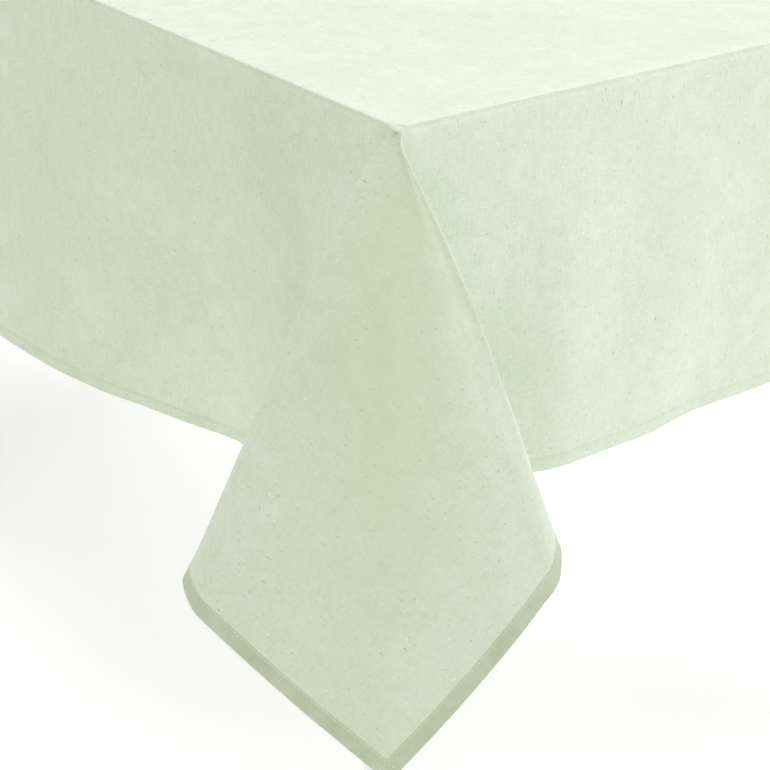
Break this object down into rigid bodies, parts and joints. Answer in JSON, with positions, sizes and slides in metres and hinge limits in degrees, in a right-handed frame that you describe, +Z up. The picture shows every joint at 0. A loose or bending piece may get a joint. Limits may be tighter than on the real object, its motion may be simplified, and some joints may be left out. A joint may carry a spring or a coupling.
{
  "type": "tablecloth on a table",
  "caption": "Rectangular dining table with a hemmed linen cloth laid over it, hanging straight at the sides and folding into a pointed kite at each corner.",
  "frame": {"origin": "on the floor under the table's centre", "axes": "+Z up, X along the table's long side, Y along its short side, the front long side at -Y"},
  "size_m": [1.5064, 1.0542, 0.7413],
  "materials": {
    "lacquered_wood": "satin white lacquer",
    "bare_wood": "bare beech",
    "zinc_steel": "zinc plated",
    "foot_plastic": "matte white nylon",
    "cloth": "plain woven linen, pale sage green",
    "cloth_hem": "folded linen hem",
    "thread": "sewing thread"
  },
  "bodies": {
    "table": {"table_top": "lacquered_wood", "rail_front": "lacquered_wood", "rail_back": "lacquered_wood", "rail_left": "lacquered_wood", "rail_right": "lacquered_wood", "leg_front_right": "lacquered_wood", "corner_block_front_right": "bare_wood", "hanger_bolt_front_right": "zinc_steel", "washer_front_right": "zinc_steel", "wing_nut_front_right": "zinc_steel", "leg_insert_front_right": "zinc_steel", "leg_back_right": "lacquered_wood", "corner_block_back_right": "bare_wood", "hanger_bolt_back_right": "zinc_steel", "washer_back_right": "zinc_steel", "wing_nut_back_right": "zinc_steel", "leg_insert_back_right": "zinc_steel", "leg_back_left": "lacquered_wood", "corner_block_back_left": "bare_wood", "hanger_bolt_back_left": "zinc_steel", "washer_back_left": "zinc_steel", "wing_nut_back_left": "zinc_steel", "leg_insert_back_left": "zinc_steel", "leg_front_left": "lacquered_wood", "corner_block_front_left": "bare_wood", "hanger_bolt_front_left": "zinc_steel", "washer_front_left": "zinc_steel", "wing_nut_front_left": "zinc_steel", "leg_insert_front_left": "zinc_steel", "top_screws": "zinc_steel"},
    "cloth": {"cloth_top": "cloth", "cloth_drop_front": "cloth", "cloth_drop_back": "cloth", "cloth_drop_left": "cloth", "cloth_drop_right": "cloth", "corner_fold_front_right": "cloth", "corner_fold_back_right": "cloth", "corner_fold_back_left": "cloth", "corner_fold_front_left": "cloth", "hem_front": "cloth_hem", "hem_back": "cloth_hem", "hem_left": "cloth_hem", "hem_right": "cloth_hem", "hem_stitching_front": "thread", "hem_stitching_back": "thread", "hem_stitching_left": "thread", "hem_stitching_right": "thread"},
    "foot_front_right": {"foot_pad_front_right": "foot_plastic", "foot_stud_front_right": "zinc_steel"},
    "foot_back_right": {"foot_pad_back_right": "foot_plastic", "foot_stud_back_right": "zinc_steel"},
    "foot_back_left": {"foot_pad_back_left": "foot_plastic", "foot_stud_back_left": "zinc_steel"},
    "foot_front_left": {"foot_pad_front_left": "foot_plastic", "foot_stud_front_left": "zinc_steel"}
  },
  "joints": [
    {"name": "cloth_lift", "type": "slide", "parent": "table", "child": "cloth", "axis": [0, 0, 1], "range_m": [0, 0.45]},
    {"name": "foot_front_right_level", "type": "slide", "parent": "table", "child": "foot_front_right", "axis": [0, 0, 1], "range_m": [0, 0.008]},
    {"name": "foot_back_right_level", "type": "slide", "parent": "table", "child": "foot_back_right", "axis": [0, 0, 1], "range_m": [0, 0.008]},
    {"name": "foot_back_left_level", "type": "slide", "parent": "table", "child": "foot_back_left", "axis": [0, 0, 1], "range_m": [0, 0.008]},
    {"name": "foot_front_left_level", "type": "slide", "parent": "table", "child": "foot_front_left", "axis": [0, 0, 1], "range_m": [0, 0.008]}
  ]
}
